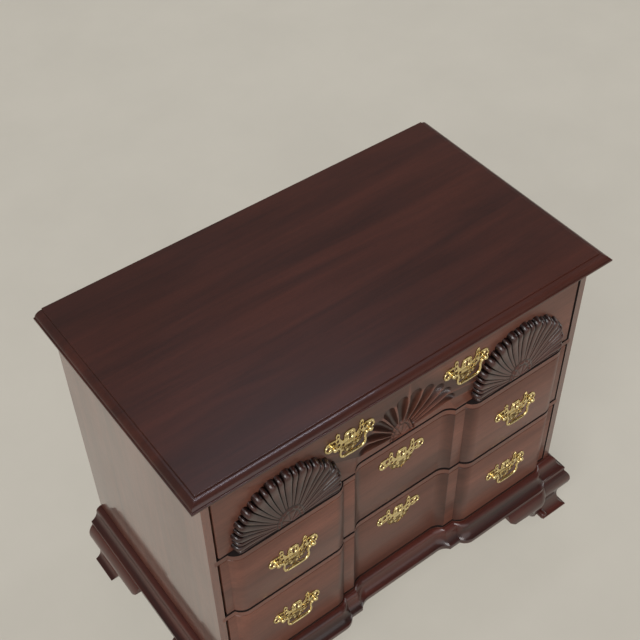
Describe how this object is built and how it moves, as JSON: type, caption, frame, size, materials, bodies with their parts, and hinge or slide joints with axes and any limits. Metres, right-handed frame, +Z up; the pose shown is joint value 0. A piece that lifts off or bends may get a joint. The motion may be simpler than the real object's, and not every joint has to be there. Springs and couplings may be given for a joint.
{
  "type": "block front chest of drawers",
  "caption": "Low blocked-front chest with carved shells on the top drawer, brass bail handles, a moulded top and ogee bracket feet.",
  "frame": {"origin": "on the floor under the middle of the overall box", "axes": "+X to the right seen from the front, +Y towards the back, +Z up; the drawers open towards -Y"},
  "size_m": [0.9456, 0.5486, 0.7974],
  "materials": {
    "mahogany": "gloss",
    "mahogany_top": "gloss",
    "secondary_wood": "raw",
    "brass": "polished"
  },
  "bodies": {
    "carcass": {"top": "mahogany_top", "side_left": "mahogany", "side_right": "mahogany", "divider_lower": "mahogany", "divider_upper": "mahogany", "runner_lower_left": "secondary_wood", "runner_lower_right": "secondary_wood", "runner_upper_left": "secondary_wood", "runner_upper_right": "secondary_wood", "bottom_board": "secondary_wood", "bottom_rail": "mahogany", "top_rail_front": "mahogany", "top_rail_rear": "secondary_wood", "top_kicker": "secondary_wood", "back_panel": "secondary_wood", "drawer_stops": "secondary_wood", "base_moulding_front": "mahogany", "base_moulding_left": "mahogany", "base_moulding_right": "mahogany", "foot_bracket_front_left": "mahogany", "foot_bracket_front_right": "mahogany", "foot_bracket_side_left": "mahogany", "foot_bracket_side_right": "mahogany", "foot_bracket_rear_left": "mahogany", "foot_bracket_rear_right": "mahogany", "foot_back_left": "secondary_wood", "foot_back_right": "secondary_wood", "foot_blocks": "secondary_wood"},
    "drawer_1": {"drawer_1_front": "mahogany", "drawer_1_side_left": "secondary_wood", "drawer_1_side_right": "secondary_wood", "drawer_1_back": "secondary_wood", "drawer_1_bottom": "secondary_wood", "drawer_1_shell_left": "mahogany", "drawer_1_shell_right": "mahogany", "pull_plates_1": "brass", "pull_posts_1": "brass"},
    "drawer_2": {"drawer_2_front": "mahogany", "drawer_2_side_left": "secondary_wood", "drawer_2_side_right": "secondary_wood", "drawer_2_back": "secondary_wood", "drawer_2_bottom": "secondary_wood", "pull_plates_2": "brass", "pull_posts_2": "brass", "escutcheon_2": "brass"},
    "drawer_3": {"drawer_3_front": "mahogany", "drawer_3_side_left": "secondary_wood", "drawer_3_side_right": "secondary_wood", "drawer_3_back": "secondary_wood", "drawer_3_bottom": "secondary_wood", "pull_plates_3": "brass", "pull_posts_3": "brass", "escutcheon_3": "brass"},
    "bail_1_left": {"bail_1_left": "brass"},
    "bail_1_right": {"bail_1_right": "brass"},
    "bail_2_left": {"bail_2_left": "brass"},
    "bail_2_right": {"bail_2_right": "brass"},
    "bail_3_left": {"bail_3_left": "brass"},
    "bail_3_right": {"bail_3_right": "brass"}
  },
  "joints": [
    {"name": "drawer_1_slide", "type": "slide", "parent": "carcass", "child": "drawer_1", "axis": [0, -1, 0], "range_m": [0, 0.33]},
    {"name": "drawer_2_slide", "type": "slide", "parent": "carcass", "child": "drawer_2", "axis": [0, -1, 0], "range_m": [0, 0.33]},
    {"name": "drawer_3_slide", "type": "slide", "parent": "carcass", "child": "drawer_3", "axis": [0, -1, 0], "range_m": [0, 0.33]},
    {"name": "bail_1_left_swing", "type": "hinge", "parent": "drawer_1", "child": "bail_1_left", "pos_m": [-0.1325, -0.22792, 0.696], "axis": [-1, 0, 0], "range_deg": [0, 100]},
    {"name": "bail_1_right_swing", "type": "hinge", "parent": "drawer_1", "child": "bail_1_right", "pos_m": [0.1325, -0.22792, 0.696], "axis": [-1, 0, 0], "range_deg": [0, 100]},
    {"name": "bail_2_left_swing", "type": "hinge", "parent": "drawer_2", "child": "bail_2_left", "pos_m": [-0.2695, -0.24192, 0.485], "axis": [-1, 0, 0], "range_deg": [0, 100]},
    {"name": "bail_2_right_swing", "type": "hinge", "parent": "drawer_2", "child": "bail_2_right", "pos_m": [0.2695, -0.24192, 0.485], "axis": [-1, 0, 0], "range_deg": [0, 100]},
    {"name": "bail_3_left_swing", "type": "hinge", "parent": "drawer_3", "child": "bail_3_left", "pos_m": [-0.2695, -0.24192, 0.29], "axis": [-1, 0, 0], "range_deg": [0, 100]},
    {"name": "bail_3_right_swing", "type": "hinge", "parent": "drawer_3", "child": "bail_3_right", "pos_m": [0.2695, -0.24192, 0.29], "axis": [-1, 0, 0], "range_deg": [0, 100]}
  ]
}
